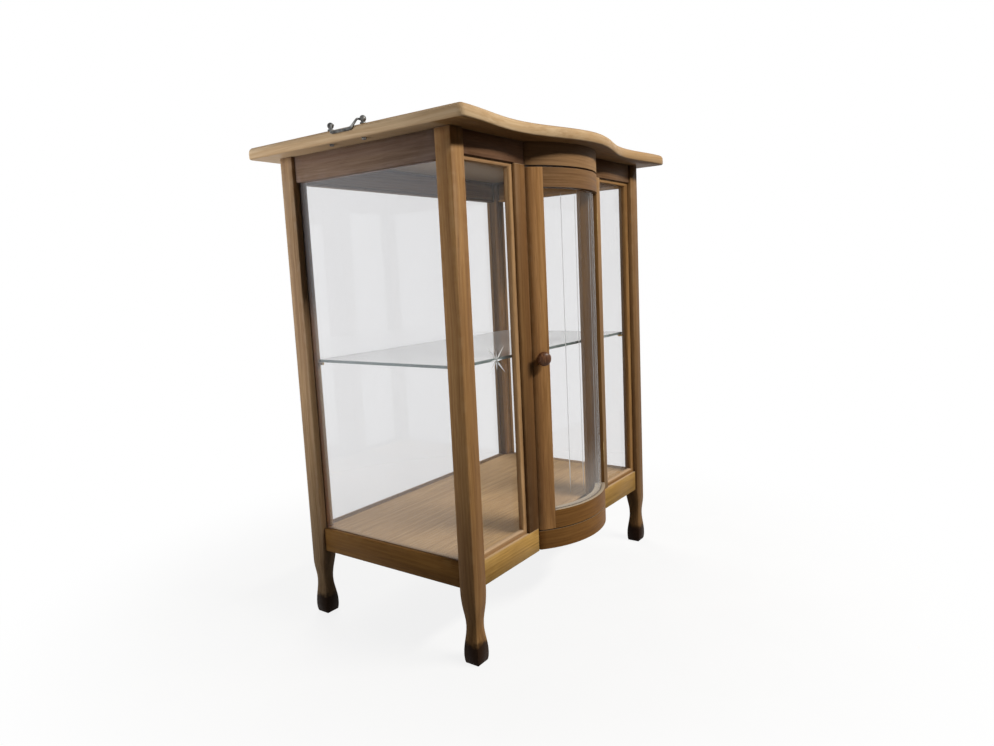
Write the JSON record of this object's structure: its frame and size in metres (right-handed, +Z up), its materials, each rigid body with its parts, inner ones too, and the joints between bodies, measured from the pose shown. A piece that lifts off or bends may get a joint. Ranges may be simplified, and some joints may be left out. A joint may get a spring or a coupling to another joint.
{
  "type": "glazed bow-front cabinet",
  "caption": "Oak display cabinet with clear panes all round, a serpentine top, a hinged bow-front glass door, a glass shelf and a drop handle on the top.",
  "frame": {"origin": "on the ground, in the middle of the whole footprint: the top board and the handle that stands out past its left edge", "axes": "+Z up, -Y towards the front with the bow door, +X to the right as seen from the front"},
  "size_m": [0.8385, 0.6068, 1.0397],
  "materials": {
    "oak": "waxed mid-brown oak",
    "pale_oak": "pale, lightly waxed oak",
    "dark_wood": "polished dark turned wood",
    "clear_glass": "clear, greenish at the edges",
    "brass": "aged",
    "iron": "dark, slightly worn"
  },
  "bodies": {
    "cabinet": {"back_bead": "oak", "back_bottom_rail": "oak", "back_glass": "clear_glass", "back_top_rail": "oak", "bow_apron": "oak", "bow_frieze": "oak", "bow_sill": "oak", "door_stop": "oak", "floor_board": "pale_oak", "front_left_bead": "oak", "front_left_bottom_rail": "oak", "front_left_glass": "clear_glass", "front_left_leg": "oak", "front_left_moulding": "oak", "front_left_shelf_stud": "brass", "front_left_top_rail": "oak", "front_right_bead": "oak", "front_right_bottom_rail": "oak", "front_right_glass": "clear_glass", "front_right_leg": "oak", "front_right_moulding": "oak", "front_right_shelf_stud": "brass", "front_right_top_rail": "oak", "glass_shelf": "clear_glass", "handle_front_nut": "iron", "handle_front_pillar": "iron", "handle_rear_nut": "iron", "handle_rear_pillar": "iron", "left_bead": "oak", "left_bottom_rail": "oak", "left_door_post": "oak", "left_floor_cleat": "oak", "left_glass": "clear_glass", "left_top_rail": "oak", "lower_hinge_pin": "brass", "lower_hinge_post_leaf": "brass", "rear_left_leg": "oak", "rear_left_shelf_stud": "brass", "rear_right_leg": "oak", "rear_right_shelf_stud": "brass", "right_bead": "oak", "right_bottom_rail": "oak", "right_door_post": "oak", "right_floor_cleat": "oak", "right_glass": "clear_glass", "right_top_rail": "oak", "top_board": "oak", "upper_hinge_pin": "brass", "upper_hinge_post_leaf": "brass"},
    "door": {"door_bead": "oak", "door_bottom_rail": "oak", "door_glass": "clear_glass", "door_knob": "dark_wood", "door_left_stile": "oak", "door_right_stile": "oak", "door_top_rail": "oak", "lower_hinge_door_leaf": "brass", "upper_hinge_door_leaf": "brass"},
    "handle": {"handle_bail": "iron"}
  },
  "joints": [
    {"name": "door_swing", "type": "hinge", "parent": "cabinet", "child": "door", "pos_m": [0.1431, -0.21805, 0.57], "axis": [0, 0, 1], "range_deg": [0, 110]},
    {"name": "handle_lift", "type": "hinge", "parent": "cabinet", "child": "handle", "pos_m": [-0.4002, 0.01085, 1.0335], "axis": [0, 1, 0], "range_deg": [0, 235]}
  ]
}
